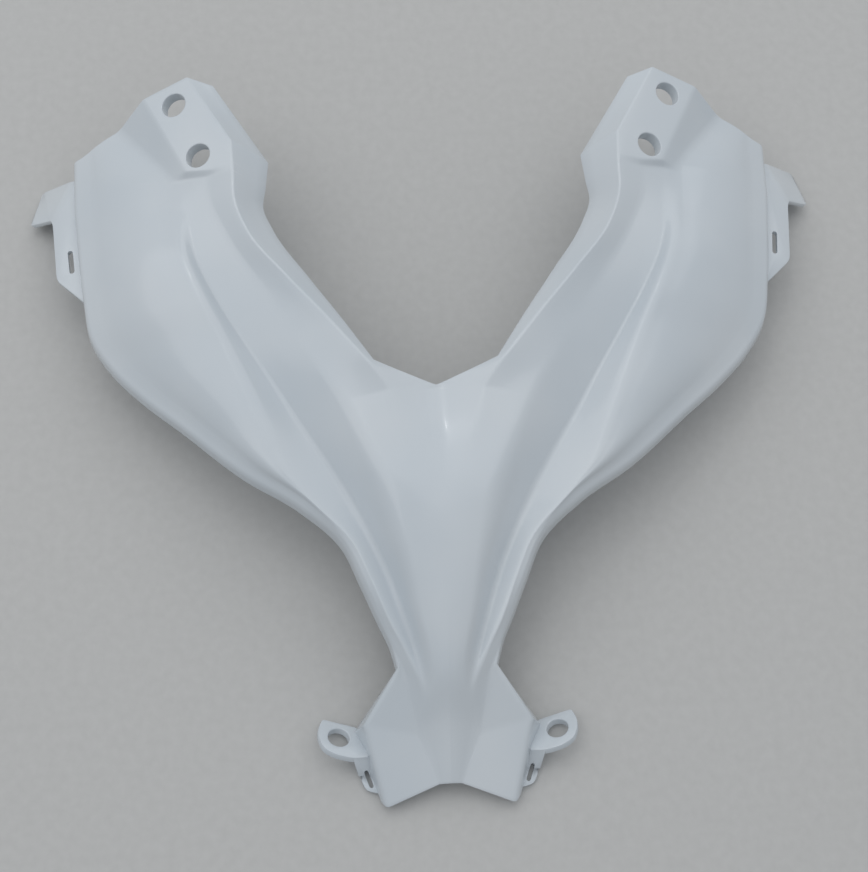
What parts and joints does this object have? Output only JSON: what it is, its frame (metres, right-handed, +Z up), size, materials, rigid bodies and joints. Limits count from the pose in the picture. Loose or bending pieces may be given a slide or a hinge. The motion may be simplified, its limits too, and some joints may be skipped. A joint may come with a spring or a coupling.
{
  "type": "motorcycle nose fairing",
  "caption": "Y-shaped moulded nose fairing shell with two channelled arms, mirror pads, side hooks and nose ears with screw holes.",
  "frame": {"origin": "on the plane of symmetry, in the plane that the nose feet and the side hooks rest on, below the middle of the length", "axes": "+X to the right arm, +Y from the nose towards the ends of the arms, +Z up, out of the glossy outer face"},
  "size_m": [0.3362, 0.2916, 0.0548],
  "materials": {
    "nose_fairing": "gloss"
  },
  "bodies": {
    "root": {"nose_fairing": "nose_fairing"}
  },
  "joints": []
}
